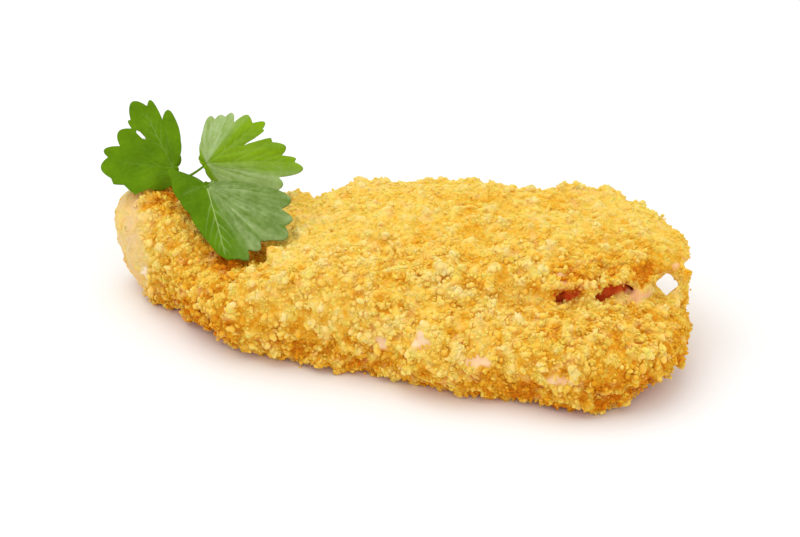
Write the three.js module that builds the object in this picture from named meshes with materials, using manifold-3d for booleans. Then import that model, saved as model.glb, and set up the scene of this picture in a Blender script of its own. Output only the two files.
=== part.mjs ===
// A stuffed, crumb-coated cutlet (cordon bleu), uncooked, with a leaf of flat parsley laid on it.
// Millimetres, +Z up. +X points to the thick end and -Y to the front, where the mouth of the
// pocket is. The sizes below measure X from the middle of the length and Y from the front edge.
// At the end the whole is shifted, so that its origin is the bottom centre of its box.
//
// The meat is one solid, joined from the slices and folds that it is pressed together from. A
// pocket is cut between the upper and the lower slice, and a slice of ham fills it and shows in
// its mouth.
import * as THREE from "three";
import { mergeVertices } from "three/addons/utils/BufferGeometryUtils.js";
import { ImprovedNoise } from "three/addons/math/ImprovedNoise.js";
import Module from "manifold-3d";

const wasm = await Module();
wasm.setup();
const noise = new ImprovedNoise();

// Each slice is a rounded slab. outline is its plan, anticlockwise. base, rim and crown are the
// heights of its underside, of its widest line and of its top. The crown goes from its thin to
// its thick height along X. dome is how much lower the top is near the edge, and fall how much it
// drops for each millimetre towards the front. roundness is [of the front edge, of the back edge]:
// 2 is a round edge and 4 a square one. steps is its number of facets [round, top to bottom].
const LOWER_SLICE = {
  outline: [
    [46, 1],
    [61, 8],
    [69.5, 22],
    [69, 33],
    [60, 43],
    [57, 60],
    [48, 73],
    [15, 77],
    [-16, 76],
    [-27, 61],
    [-39, 46],
    [-47, 35],
    [-40, 30],
    [-28, 27],
    [-4, 19.5],
    [18, 10],
    [32, 3],
  ],
  hub: [28, 34],
  base: 1.5,
  rim: 10.5,
  crown: { thin: 20.5, thick: 26, from: 24, to: -4 },
  dome: 0,
  fall: 0,
  roundness: [2.3, 3],
  steps: [66, 14],
};
const UPPER_SLICE = {
  outline: [
    [36.5, 22.5],
    [52, 26.5],
    [62, 32],
    [69, 41],
    [68.5, 50],
    [62, 61],
    [50, 72],
    [20, 77],
    [-18, 78],
    [-26, 64],
    [-32.5, 48],
    [-33, 41],
    [-20, 35.5],
    [0, 29],
    [20, 24.5],
  ],
  hub: [14, 50],
  base: 14,
  rim: 23,
  crown: { thin: 25.5, thick: 31, from: -36, to: 6 },
  dome: 3,
  fall: 0,
  roundness: [2.4, 3],
  steps: [66, 14],
};
const TAIL = {
  outline: [
    [-32, 36],
    [-14, 46],
    [-2, 68],
    [-20, 79],
    [-55, 80],
    [-68.5, 78.5],
    [-69.8, 69],
    [-65, 59.5],
    [-57, 51.5],
    [-48, 38],
  ],
  hub: [-42, 62],
  base: -1,
  rim: 13,
  crown: { thin: 22, thick: 25, from: -42, to: -62 },
  dome: 0,
  fall: 0.2,
  roundness: [2.6, 3.6],
  steps: [48, 12],
};
const UNDER_FOLD = {
  outline: [
    [44, 1.5],
    [57, 9],
    [62, 30],
    [54, 62],
    [10, 73],
    [-40, 64],
    [-46, 38],
    [-28, 27.5],
    [-4, 19],
    [6, 13],
    [28, 6],
  ],
  hub: [20, 34],
  base: -1.5,
  rim: 4.5,
  crown: { thin: 9, thick: 10, from: 30, to: -30 },
  dome: 0,
  fall: 0,
  roundness: [2, 2],
  steps: [56, 8],
};
const FLAP = {
  outline: [
    [9, 8.5],
    [17, 7.5],
    [24, 8],
    [16, 20],
    [0, 26],
    [-7, 21],
    [1, 14.5],
  ],
  hub: [11, 16],
  base: 3,
  rim: 9,
  crown: { thin: 17, thick: 18.5, from: 16, to: 8 },
  dome: 0,
  fall: 0,
  roundness: [1.9, 2],
  steps: [26, 8],
};
const SLICES = [LOWER_SLICE, UPPER_SLICE, TAIL, UNDER_FOLD, FLAP];

// The bridge of coating that joins the two slices at the right of the mouth. half is its radii.
const BRIDGE = { at: [67.6, 35, 18.5], half: [1.9, 3.4, 6.2], steps: [12, 8] };

// The pocket is a flat lens that reaches out through the mouth. The ham has the same hub and less
// of an outline, and stops short of the mouth.
const POCKET = {
  outline: [
    [44, 12],
    [58, 16],
    [76, 28],
    [74, 44],
    [60, 56],
    [40, 64],
    [10, 64],
    [-14, 54],
    [-14, 42],
    [8, 34],
    [29, 28],
  ],
  hub: [28, 40],
  level: 20.4,
  tall: 4,
  fall: 0.02,
  steps: [44, 8],
};
const HAM_GAP = 0.35;
const HAM_OUTLINE = [
  [36, 28],
  [46, 28],
  [55, 32],
  [57, 42],
  [50, 52],
  [36, 60],
  [10, 60],
  [-10, 51],
  [-10, 44],
  [10, 37],
  [27, 32],
];

// Lumps of the coated surface: [size of a lump, how far it stands out].
const LUMPS = [
  [16, 1.4],
  [8, 0.8],
];
const LUMP_SHIFT = new THREE.Vector3(7, 3, 5);

// Each leaflet of the parsley spreads from its base in a plane of its own, which leans back by lean
// degrees from level, with its +X side raised by roll degrees. Its teeth are [direction in that
// plane in degrees, reach, half width in degrees]. neck is how far it reaches behind its base, and
// cup how far its rim bends down at LEAF_REACH.
const LEFT_LEAFLET = {
  base: [-55.7, 72.4, 31.9],
  lean: 60,
  roll: -6,
  teeth: [
    [80, 11.2, 12],
    [95, 14.3, 24],
    [109, 17.5, 24],
    [121, 18.9, 26],
    [134, 15.2, 30],
    [148, 15.5, 26],
    [164, 17, 24],
    [176, 17.2, 26],
    [188, 15.7, 26],
    [208, 12.3, 22],
    [228, 7, 30],
    [252, 5, 40],
  ],
  neck: 1.2,
  cup: 2,
};
const RIGHT_LEAFLET = {
  base: [-48.7, 72, 33.2],
  lean: 58,
  roll: 5,
  teeth: [
    [-60, 6, 40],
    [-30, 12, 26],
    [-17, 19.5, 16],
    [-3, 23.3, 22],
    [12, 19.6, 22],
    [21, 17.1, 12],
    [35, 17.9, 12],
    [49, 15.1, 24],
    [62, 13.6, 26],
    [84, 11.5, 24],
    [104, 5.2, 30],
  ],
  neck: 1.2,
  cup: 2,
};
const FRONT_LEAFLET = {
  base: [-48.2, 60.5, 32.6],
  lean: 36,
  roll: 8,
  teeth: [
    [-150, 7.6, 50],
    [-118, 9, 30],
    [-86, 15.5, 32],
    [-70, 21, 28],
    [-61, 23, 18],
    [-51, 22.4, 15],
    [-34, 24, 20],
    [-22, 22.2, 18],
    [-8, 20, 16],
    [3, 16.5, 24],
    [30, 6, 40],
    [155, 10.6, 22],
    [178, 8.6, 34],
  ],
  neck: 1.5,
  cup: 1,
};
const LEAFLETS = [LEFT_LEAFLET, RIGHT_LEAFLET, FRONT_LEAFLET];
const LEAF_THICK = 1;
const LEAF_STEPS = [84, 6];
const LEAF_REACH = 20;
const STALK_WIDE = 1.2;
const STALK_JOINT = [-54.2, 71, 29.7];

function outlineCurve(points) {
  return new THREE.CatmullRomCurve3(
    points.map(([x, y]) => new THREE.Vector3(x, y, 0)),
    true,
    "centripetal",
  );
}

// A closed ball whose vertices are moved by place(turn, pole): turn runs once round, from 0 to 1,
// and pole is the angle down from the top.
function ballMappedBy(place, [round, rings]) {
  const ball = new THREE.SphereGeometry(1, round, rings).rotateX(Math.PI / 2);
  ball.deleteAttribute("normal");
  ball.deleteAttribute("uv");
  const merged = mergeVertices(ball, 1e-4);
  const positions = merged.getAttribute("position");
  const point = new THREE.Vector3();
  for (let i = 0; i < positions.count; i++) {
    point.fromBufferAttribute(positions, i);
    const turn = (Math.atan2(point.y, point.x) / (2 * Math.PI) + 1) % 1;
    const pole = Math.acos(THREE.MathUtils.clamp(point.z, -1, 1));
    positions.setXYZ(i, ...place(turn, pole).toArray());
  }
  return merged;
}

function solidFrom(geometry) {
  const merged = mergeVertices(geometry, 1e-4);
  return new wasm.Manifold(
    new wasm.Mesh({
      numProp: 3,
      vertProperties: merged.getAttribute("position").array,
      triVerts: new Uint32Array(merged.index.array),
    }),
  );
}

function geometryFrom(solid) {
  const mesh = solid.getMesh();
  const geometry = new THREE.BufferGeometry();
  geometry.setAttribute("position", new THREE.BufferAttribute(new Float32Array(mesh.vertProperties), 3));
  geometry.setIndex(new THREE.BufferAttribute(new Uint32Array(mesh.triVerts), 1));
  geometry.computeVertexNormals();
  return geometry;
}

// 0 before from, 1 past to, and smooth between them, whichever of the two is the greater.
function smoothstep(from, to, value) {
  return THREE.MathUtils.smoothstep((value - from) / (to - from), 0, 1);
}

function lumpAt(point) {
  return LUMPS.reduce((sum, [size, height]) => {
    const place = point.clone().divideScalar(size).add(LUMP_SHIFT);
    return sum + height * noise.noise(place.x, place.y, place.z);
  }, 0);
}

function sliceSolid({ outline, hub, base, rim, crown, dome, fall, roundness, steps }) {
  const curve = outlineCurve(outline);
  const middle = new THREE.Vector3(...hub, 0);
  const place = (turn, pole) => {
    const edge = curve.getPointAt(turn);
    const outward = edge.clone().sub(middle).normalize();
    const upper = pole < Math.PI / 2;
    const backness = smoothstep(-0.5, 0.4, outward.y);
    const power = 2 / THREE.MathUtils.lerp(...roundness, backness);
    const spread = Math.sin(pole) ** power;
    const rise = Math.abs(Math.cos(pole)) ** power;
    const point = middle.clone().lerp(edge, spread);
    const thickness = smoothstep(crown.from, crown.to, point.x);
    const drop = dome * spread ** 2 + fall * (middle.y - point.y);
    const top = THREE.MathUtils.lerp(crown.thin, crown.thick, thickness) - drop;
    point.z = rim + (upper ? top - rim : base - rim) * rise;
    const lump = lumpAt(point);
    point.addScaledVector(outward, lump * spread);
    point.z += upper ? lump * rise : 0;
    point.z = Math.max(0, point.z);
    return point;
  };
  return solidFrom(ballMappedBy(place, steps));
}

function lensSolid({ outline, hub, level, tall, fall, steps }) {
  const curve = outlineCurve(outline);
  const middle = new THREE.Vector3(...hub, 0);
  const place = (turn, pole) => {
    const point = middle.clone().lerp(curve.getPointAt(turn), Math.sin(pole) ** 0.7);
    const side = Math.sign(Math.cos(pole)) * Math.abs(Math.cos(pole)) ** 0.7;
    point.z = level - fall * (point.y - middle.y) + (tall / 2) * side;
    return point;
  };
  return solidFrom(ballMappedBy(place, steps));
}

function bridgeSolid({ at, half, steps }) {
  const ball = new THREE.SphereGeometry(1, ...steps).rotateX(Math.PI / 2);
  ball.scale(...half);
  ball.translate(...at);
  ball.deleteAttribute("normal");
  ball.deleteAttribute("uv");
  return solidFrom(ball);
}

function makeCutlet() {
  const meat = SLICES.map(sliceSolid).reduce((whole, slice) => whole.add(slice));
  return geometryFrom(meat.subtract(lensSolid(POCKET)).add(bridgeSolid(BRIDGE)));
}

function makeHam() {
  return geometryFrom(lensSolid({ ...POCKET, outline: HAM_OUTLINE, tall: POCKET.tall - 2 * HAM_GAP }));
}

// How far a leaflet reaches from its base in a direction: as far as the tooth that reaches
// furthest there.
function reachTowards(direction, teeth, neck) {
  return teeth.reduce((furthest, [middle, reach, width]) => {
    const aside = (THREE.MathUtils.euclideanModulo(direction - middle + 180, 360) - 180) / width;
    return Math.max(furthest, reach * (1 - aside ** 2));
  }, neck);
}

function leafletSolid({ base, lean, roll, teeth, neck, cup }) {
  const place = (turn, pole) => {
    const angle = 2 * Math.PI * turn;
    const reach = reachTowards(360 * turn, teeth, neck) * Math.sin(pole);
    const side = (LEAF_THICK / 2) * Math.sign(Math.cos(pole)) * Math.abs(Math.cos(pole)) ** 0.6;
    const bend = cup * (reach / LEAF_REACH) ** 2;
    return new THREE.Vector3(reach * Math.cos(angle), reach * Math.sin(angle), side - bend);
  };
  const leaflet = ballMappedBy(place, LEAF_STEPS);
  leaflet.rotateY(-THREE.MathUtils.degToRad(roll));
  leaflet.rotateX(THREE.MathUtils.degToRad(lean));
  leaflet.translate(...base);
  return solidFrom(leaflet);
}

function stalkSolid(from, to) {
  const route = new THREE.LineCurve3(new THREE.Vector3(...from), new THREE.Vector3(...to));
  const section = new THREE.Shape().absarc(0, 0, STALK_WIDE / 2, 0, 2 * Math.PI);
  const stalk = new THREE.ExtrudeGeometry(section, { steps: 1, curveSegments: 6, extrudePath: route });
  stalk.deleteAttribute("normal");
  stalk.deleteAttribute("uv");
  return solidFrom(stalk);
}

function makeParsley() {
  const parts = LEAFLETS.flatMap((leaflet) => [leafletSolid(leaflet), stalkSolid(STALK_JOINT, leaflet.base)]);
  return geometryFrom(parts.reduce((whole, part) => whole.add(part)));
}

const coating = new THREE.MeshStandardMaterial({ color: 0xe9b24a, roughness: 0.85, metalness: 0 });
const hamPink = new THREE.MeshStandardMaterial({ color: 0xa83a2a, roughness: 0.5, metalness: 0 });
const leafGreen = new THREE.MeshStandardMaterial({ color: 0x4a7d14, roughness: 0.45, metalness: 0 });

const dish = new THREE.Group();

function addPiece(name, geometry, material) {
  const mesh = new THREE.Mesh(geometry, material);
  mesh.name = name;
  dish.add(mesh);
}

addPiece("cutlet", makeCutlet(), coating);
addPiece("ham", makeHam(), hamPink);
addPiece("parsley", makeParsley(), leafGreen);

const box = new THREE.Box3().setFromObject(dish);
dish.position.set(-(box.min.x + box.max.x) / 2, -(box.min.y + box.max.y) / 2, -box.min.z);

export default dish;
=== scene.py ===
import bpy
import math
import numpy as np
from mathutils import Matrix, Vector, noise
from mathutils.bvhtree import BVHTree


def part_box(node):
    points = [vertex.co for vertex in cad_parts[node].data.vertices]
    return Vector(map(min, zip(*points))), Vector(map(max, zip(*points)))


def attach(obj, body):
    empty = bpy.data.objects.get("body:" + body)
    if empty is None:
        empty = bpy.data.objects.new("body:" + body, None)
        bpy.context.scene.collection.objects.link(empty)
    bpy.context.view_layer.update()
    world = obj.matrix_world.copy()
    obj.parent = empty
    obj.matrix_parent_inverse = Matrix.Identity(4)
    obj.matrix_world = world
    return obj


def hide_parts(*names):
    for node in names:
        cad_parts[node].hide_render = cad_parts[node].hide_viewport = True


# An uncooked, crumb-coated cordon bleu with a leaf of flat parsley laid on it.
# Everything is in metres, in the frame's own axes.
mm = 0.001

print("loading the frame")
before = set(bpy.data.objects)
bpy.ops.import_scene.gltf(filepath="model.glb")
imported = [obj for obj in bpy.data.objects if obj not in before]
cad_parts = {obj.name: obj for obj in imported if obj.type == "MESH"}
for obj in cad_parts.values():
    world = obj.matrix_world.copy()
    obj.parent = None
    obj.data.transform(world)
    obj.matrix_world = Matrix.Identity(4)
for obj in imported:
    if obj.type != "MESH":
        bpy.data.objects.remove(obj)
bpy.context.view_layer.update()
cutletLow = np.array(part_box("cutlet")[0])
parsleyLow = np.array(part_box("parsley")[0])


# A place in millimetres from the cutlet's left end, its front edge and the table.
def fromCutlet(x, y, z):
    return np.array([cutletLow[0] + x * mm, cutletLow[1] + y * mm, z * mm])


# A place in millimetres from the parsley's left end, its front edge and its lowest point.
def fromParsley(x, y, z):
    return parsleyLow + np.array([x, y, z]) * mm


def fromLeft(places):
    return (places[:, 0] - cutletLow[0]) / mm


def fromFront(places):
    return (places[:, 1] - cutletLow[1]) / mm


# From 0 below low to 1 above high.
def smoothStep(low, high, value):
    share = np.clip((np.asarray(value, float) - low) / (high - low), 0, 1)
    return share * share * (3 - 2 * share)


def setMode(mode):
    bpy.ops.object.mode_set(mode=mode)


def deselectAll():
    if bpy.context.object and bpy.context.object.mode != "OBJECT":
        setMode("OBJECT")
    bpy.ops.object.select_all(action="DESELECT")


def makeActive(piece):
    deselectAll()
    bpy.context.view_layer.objects.active = piece
    piece.select_set(True)


def addPiece(operator, **settings):
    deselectAll()
    operator(**settings)
    return bpy.context.object


def addObject(name, data):
    item = bpy.data.objects.new(name, data)
    bpy.context.collection.objects.link(item)
    return item


def joinPieces(pieces):
    for piece in pieces:
        piece.select_set(True)
    bpy.ops.object.join()
    return bpy.context.object


# Edits the whole mesh of the active piece.
def editWhole(operator, **settings):
    setMode("EDIT")
    bpy.ops.mesh.select_all(action="SELECT")
    operator(**settings)
    setMode("OBJECT")


def weld():
    editWhole(bpy.ops.mesh.remove_doubles, threshold=1e-6)


def shadeSmooth(piece):
    makeActive(piece)
    bpy.ops.object.shade_smooth()


def applyModifier(piece, kind, **settings):
    makeActive(piece)
    modifier = piece.modifiers.new(kind.title(), kind)
    for key, value in settings.items():
        setattr(modifier, key, value)
    bpy.ops.object.modifier_apply(modifier=modifier.name)


def remeshTo(piece, voxel):
    applyModifier(piece, "REMESH", mode="VOXEL", voxel_size=voxel)


def smoothOut(piece, iterations):
    applyModifier(piece, "SMOOTH", factor=0.5, iterations=iterations)


def vectorsOf(items, key, kind=float):
    flat = np.empty(len(items) * 3, kind)
    items.foreach_get(key, flat)
    return flat.reshape(-1, 3)


def vertexPlaces(mesh):
    return vectorsOf(mesh.vertices, "co")


def setVertexPlaces(mesh, places):
    mesh.vertices.foreach_set("co", np.asarray(places, float).ravel())
    mesh.update()


def vertexNormals(mesh):
    return vectorsOf(mesh.vertex_normals, "vector")


def triangleCorners(mesh):
    mesh.calc_loop_triangles()
    return vectorsOf(mesh.loop_triangles, "vertices", int)


def setAttributes(mesh, **attributes):
    for name, values in attributes.items():
        attribute = mesh.attributes.get(name) or mesh.attributes.new(name, "FLOAT", "POINT")
        attribute.data.foreach_set("value", np.asarray(values, float).ravel())


def noiseAt(places, size, seed=0.0):
    shift = Vector((seed, seed * 1.7, seed * 0.6))
    return np.array([noise.noise(Vector(p) / size + shift) for p in places])


def treeOf(places, corners):
    return BVHTree.FromPolygons([Vector(p) for p in places], corners.tolist())


def pieceTree(*pieces):
    allPlaces, allCorners, first = [], [], 0
    for piece in pieces:
        places = vertexPlaces(piece.data)
        allPlaces.append(places)
        allCorners.append(triangleCorners(piece.data) + first)
        first += len(places)
    return treeOf(np.concatenate(allPlaces), np.concatenate(allCorners))


# The meat in its coat. The bed is the meat under the crumbs, and the crust is the bed with the crumbs
# that are pressed into it, one skin.
coat = {
    "voxel": 0.62 * mm,
    "smoothing": 10,
    "bed": 0.6,              # how deep the bed lies under the surface of the coating, in millimetres
    "clumpSize": 5.0 * mm,
    "clumpHeight": 1.5 * mm,
    "bedFrom": 0.2 * mm,     # the underside stays flat on the table up to here
    "bedTo": 3.0 * mm,
    "bareStill": 0.8,        # how much less the bed is moved where it is bare, and in the pocket
    "pocketStill": 0.7,
    "enclosed": 4.6 * mm,    # inside the pocket the other wall is nearer than this
    "rayStart": 0.3,         # which is looked for from this far over the surface, in millimetres
    "crustVoxel": 0.52 * mm,
    "crustSmoothing": 2,
    "crustFaces": 150000,
    "most": 4.0,             # the bed is moved no more than this, in millimetres
    # From hollow to top over the bed the colour goes from painted shade, deep orange, to painted light,
    # pale lemon.
    "hollow": -0.3,          # heights over the bed, in millimetres, from fully sheltered
    "top": 3.0,              # to fully exposed
}

# Patches where the flesh shows: x, y and z, half its size along each, and how white it is
barePatches = [
    [107.2, 24.2, 25, 1.2, 3.6, 2.4, 0.1],
    [124.8, 28, 19.3, 6, 3.2, 1.7, 0.1],
    [134.6, 35, 23.2, 1.5, 1.8, 1, 0],
    [64.2, 19.4, 11.2, 3.8, 3, 1.8, 0.4],
    [74.2, 12.8, 14.9, 3.6, 3, 2, 0.45],
    [87.4, 8.2, 11.8, 3.6, 2.8, 1.4, 0.3],
    [107.6, 0.8, 10.6, 4.4, 3, 1.5, 0.2],
    [51.5, 27, 12, 2.6, 2.4, 1.4, 0.2],
    # The last row is a narrow, fully white streak at the left end.
    [6.2, 57, 9.6, 1, 1.4, 4.6, 1],
]
# Where the crumbs are paler or, below 0, more golden: x, y, half width, half depth and how much. Most
# rows are the coat's own colour; the marked ones are painted shade.
toneAndShadePlaces = [
    [22, 46, 15, 24, -0.26],
    # The next two rows are painted shade beside the leaf's lower left edge.
    [13, 66, 8, 10, -0.3],
    [32, 49, 10, 9, -0.26],
    # Painted shade at the front right.
    [122, 12, 28, 20, -0.18],
    [88, 56, 12, 9, -0.14],
    [108, 60, 9, 7, -0.1],
    [46, 44, 12, 9, 0.14],
    [124, 36, 12, 9, -0.12],
]
# Where the coating is thicker or, below 0, thinner: x, y, z, how far it reaches and by how much
thickPlaces = [
    [1, 64, 16, 17, 1.0],
    [2, 73, 22, 15, 2.8],
    [116, 70, 22, 14, 1.6],
    [98, 79, 20, 13, 0.8],
    [143, 30, 10, 22, -1.3],
    [142, 23, 9, 8, -1.4],
    [138, 32, 12, 6, 0.6],
    [140, 36, 19, 7, -0.6],
]
# Left of the leaf the crumbs are painted more golden, a painted shade along the leaf's edge, which fades
# with how far the leaf is and along x.
leafShade = {"near": 1.0 * mm, "far": 6.0 * mm, "left": 28, "right": 34, "golden": 0.3}
# The floury left end fades out along x, and is narrower by so much from the height low to high
flouryEnd = {"left": 5, "right": 8.2, "narrower": 1.6, "low": 14, "high": 24}
# The coat beside the front leaflet: its middle and half its size
leafSide = (18, 48, 19, 34)
# The relief is least on the back and grows over these depths by more
reliefShare = {"front": (22, 52), "least": 0.42, "more": 0.58, "leafSide": 0.8, "floury": 0.6}
# How much paler or, below 0, more golden the larger parts are: the floury end, the back by its depth,
# the foot by its height as a painted shade on the lower side, and the pocket's lips by x, by height and
# by how far off their line
paler = {
    "floury": 0.1, "back": 0.1, "backFrom": (25, 60), "foot": -0.24, "footTo": (5, 14), "lips": -0.2,
    "lipsLeft": (102, 105), "lipsRight": (130, 133), "lipsHigh": (20.8, 22.2), "lipsNear": (2, 6),
}
# The pocket ends over walled. Its lips' line starts at lipX and lipY and goes back by lipTurn for
# each millimetre to the right. The mouths of its two slits reach a little in front of that line.
pocket = {
    "x": (102, 130), "z": (17.8, 23.2), "walled": (127, 130),
    "lipX": 104.6, "lipY": 24.4, "lipTurn": 0.23,
}
slits = {"x": (104, 129), "z": (18.6, 22.6), "front": -2.4}
# The see-through gap at the pocket's right end, a diamond along a line that slants down to the back
# and widens that way. Crumbs ring it: how far from the line, where 1 is the diamond's corners, how
# many, and how near the meat has to be. None lie nearer than clear, and no large ones than small.
gap = {
    "place": (132.9, 34.1, 19.0), "slant": 27.0, "aside": 3.0, "turned": -2.0,
    "halfWide": 2.8, "halfTall": 2.8, "ahead": 8.0, "behind": 45.0, "widens": 0.012, "narrowest": 0.5,
    "sides": 0.67, "corners": 1.14, "clear": 1.05, "small": 1.15,
    "rims": [[1.5, 14, 4.0], [2.2, 18, 1.2]], "rimCrumb": 2.5,
}

print("making the coated meat")


def copyOfNode(nodeName, pieceName):
    piece = addObject(pieceName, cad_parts[nodeName].data.copy())
    makeActive(piece)
    weld()
    piece.data.materials.clear()
    return piece


# How bare each place is, and how white.
def bareAt(places):
    bare, white = np.zeros(len(places)), np.zeros(len(places))
    wobble = noiseAt(places, 2.2 * mm, 3.0) * 0.6
    for x, y, z, halfX, halfY, halfZ, whiteness in barePatches:
        away = (places - fromCutlet(x, y, z)) / (np.array([halfX, halfY, halfZ]) * mm)
        here = 1 - smoothStep(0.6, 1.1, np.linalg.norm(away, axis=1) + wobble)
        bare, white = np.maximum(bare, here), np.maximum(white, here * whiteness)
    return bare, white


# The gap's own axes: across, upright and towards the front.
def gapTurn():
    towards = Matrix.Rotation(-math.radians(gap["aside"]), 3, "Z")
    tilted = Matrix.Rotation(math.radians(90 - gap["slant"]), 3, "X")
    return towards @ tilted @ Matrix.Rotation(math.radians(gap["turned"]), 3, "Z")


# How far each place is from the gap's line, across and upright, where 1 is the diamond's corner.
def fromGap(places):
    across, upright, ahead = ((places - fromCutlet(*gap["place"])) / mm @ np.array(gapTurn())).T
    wide = np.maximum(1 - ahead * gap["widens"], gap["narrowest"])
    return across / (gap["halfWide"] * wide), upright / (gap["halfTall"] * wide)


def awayFromGap(places, distance):
    across, upright = fromGap(places)
    return smoothStep(distance, distance + 0.2, np.abs(across) + np.abs(upright))


# How far each place lies behind the line of the pocket's lips, in millimetres.
def behindLips(places):
    return fromFront(places) - pocket["lipY"] - pocket["lipTurn"] * (fromLeft(places) - pocket["lipX"])


# How far each place is from the middle of an oval that is laid over the plan, 1 on its edge.
def overPlan(places, middleX, middleY, halfX, halfY):
    x, y = fromLeft(places), fromFront(places)
    return np.sqrt(((x - middleX) / halfX) ** 2 + ((y - middleY) / halfY) ** 2)


def besideLeafAt(places):
    return 1 - smoothStep(0.6, 1.1, overPlan(places, *leafSide))


# How far each place belongs to the left end, which has a fine, pale coat.
def flouryAt(places):
    high = smoothStep(flouryEnd["low"], flouryEnd["high"], places[:, 2] / mm)
    edge = fromLeft(places) + flouryEnd["narrower"] * high
    return 1 - smoothStep(flouryEnd["left"], flouryEnd["right"], edge)


# How strong the relief of the crumbs is: less on the top and the back, and at the left end.
def ruggedAt(places):
    inFront = 1 - smoothStep(*reliefShare["front"], fromFront(places))
    strongest = np.maximum(inFront, reliefShare["leafSide"] * besideLeafAt(places))
    relief = reliefShare["least"] + reliefShare["more"] * strongest
    return relief * (1 - reliefShare["floury"] * flouryAt(places))


# Painted shade beside the leaf: 1 right by it, 0 from far on, and only left of right.
def leafShadeAt(places):
    away = np.full(len(places), leafShade["far"])
    for i in np.flatnonzero(fromLeft(places) < leafShade["right"]):
        found = leafTree.find_nearest(Vector(places[i]), leafShade["far"])[3]
        away[i] = leafShade["far"] if found is None else found
    near = 1 - smoothStep(leafShade["near"], leafShade["far"], away)
    return near * (1 - smoothStep(leafShade["left"], leafShade["right"], fromLeft(places)))


# How much paler or, below 0, more golden the crumbs are, with painted shade beside the leaf, at the foot
# and at the front right.
def zoneToneAndShade(places):
    x, y, z = fromLeft(places), fromFront(places), places[:, 2] / mm
    tone = paler["floury"] * flouryAt(places) + paler["back"] * smoothStep(*paler["backFrom"], y)
    # The painted shade beside the leaf.
    tone = tone - leafShade["golden"] * leafShadeAt(places)
    for *oval, amount in toneAndShadePlaces:
        tone += amount * (1 - smoothStep(0.3, 1.2, overPlan(places, *oval)))
    onLips = smoothStep(*paler["lipsLeft"], x) * (1 - smoothStep(*paler["lipsRight"], x))
    onLips = onLips * smoothStep(*paler["lipsHigh"], z)
    nearLips = 1 - smoothStep(*paler["lipsNear"], np.abs(behindLips(places)))
    tone += paler["lips"] * onLips * nearLips
    # Painted shade: more golden, so darker, towards the table.
    return tone + paler["foot"] * (1 - smoothStep(*paler["footTo"], z))


# Whether the other wall of the pocket is near, in front of each place.
def enclosedAt(places, normals, corners):
    tree = treeOf(places, corners)
    inside = np.zeros(len(places))
    for i, (place, normal) in enumerate(zip(places, normals)):
        start = Vector(place + normal * coat["rayStart"] * mm)
        inside[i] = tree.ray_cast(start, Vector(normal), coat["enclosed"])[0] is not None
    return inside * (1 - smoothStep(*pocket["walled"], fromLeft(places)))


def makeBed():
    piece = copyOfNode("cutlet", "bed")
    remeshTo(piece, coat["voxel"])
    smoothOut(piece, coat["smoothing"])
    places = vertexPlaces(piece.data)
    enclosed = enclosedAt(places, vertexNormals(piece.data), triangleCorners(piece.data))
    coated = smoothStep(coat["bedFrom"], coat["bedTo"], places[:, 2])
    coated = coated * (1 - bareAt(places)[0] * coat["bareStill"]) * (1 - enclosed * coat["pocketStill"])
    added = np.zeros(len(places))
    for x, y, z, reach, amount in thickPlaces:
        away = np.linalg.norm(places - fromCutlet(x, y, z), axis=1) / (reach * mm)
        added += amount * (1 - smoothStep(0, 1, away))
    groups = {
        "rugged": coated * ruggedAt(places),
        "raised": coated * np.maximum(added, 0) / coat["most"],
        "sunk": coated * (coat["bed"] - np.minimum(added, 0)) / coat["most"],
    }
    for groupName, weights in groups.items():
        group = piece.vertex_groups.new(name=groupName)
        for i, weight in enumerate(weights):
            group.add([i], float(weight), "REPLACE")
    most = coat["most"] * mm
    applyModifier(piece, "DISPLACE", strength=-most, mid_level=0.0, vertex_group="sunk")
    applyModifier(piece, "DISPLACE", strength=most, mid_level=0.0, vertex_group="raised")
    clouds = bpy.data.textures.new("clumps", "CLOUDS")
    clouds.noise_scale = coat["clumpSize"]
    applyModifier(piece, "DISPLACE", texture=clouds, texture_coords="LOCAL",
                  strength=coat["clumpHeight"], mid_level=0.5, vertex_group="rugged")
    piece.vertex_groups.clear()
    return piece, enclosed


bed, bedEnclosed = makeBed()
bedTree = pieceTree(bed)
print("bed:", len(bed.data.polygons), "faces")
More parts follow.
